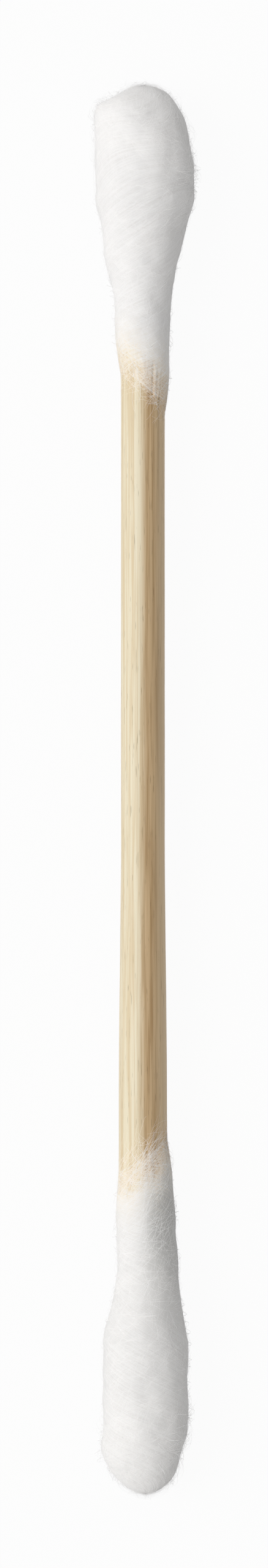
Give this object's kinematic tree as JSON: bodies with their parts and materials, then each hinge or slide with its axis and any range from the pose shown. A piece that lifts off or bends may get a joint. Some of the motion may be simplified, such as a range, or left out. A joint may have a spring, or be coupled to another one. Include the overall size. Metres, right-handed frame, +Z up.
{
  "type": "cotton swab",
  "caption": "Double-ended cotton swab lying on its side: a slim round wooden stick with a fuller blunt cotton tip on one end and a slimmer, longer cotton tip on the other.",
  "frame": {"origin": "on the floor, under the middle of the swab as it lies on its side", "axes": "+Y along the stick towards the fuller tip, +Z up, +X to the right as seen from above"},
  "size_m": [0.0054, 0.075, 0.0048],
  "materials": {
    "stick_wood": "bare, smooth, straight-grained dowel, cream on one side and tan on the other",
    "cotton": "loose white bleached cotton, wound and pressed, matt and slightly fuzzy"
  },
  "bodies": {
    "root": {"stick": "stick_wood", "wide_cotton_tip": "cotton", "slim_cotton_tip": "cotton"}
  },
  "joints": []
}
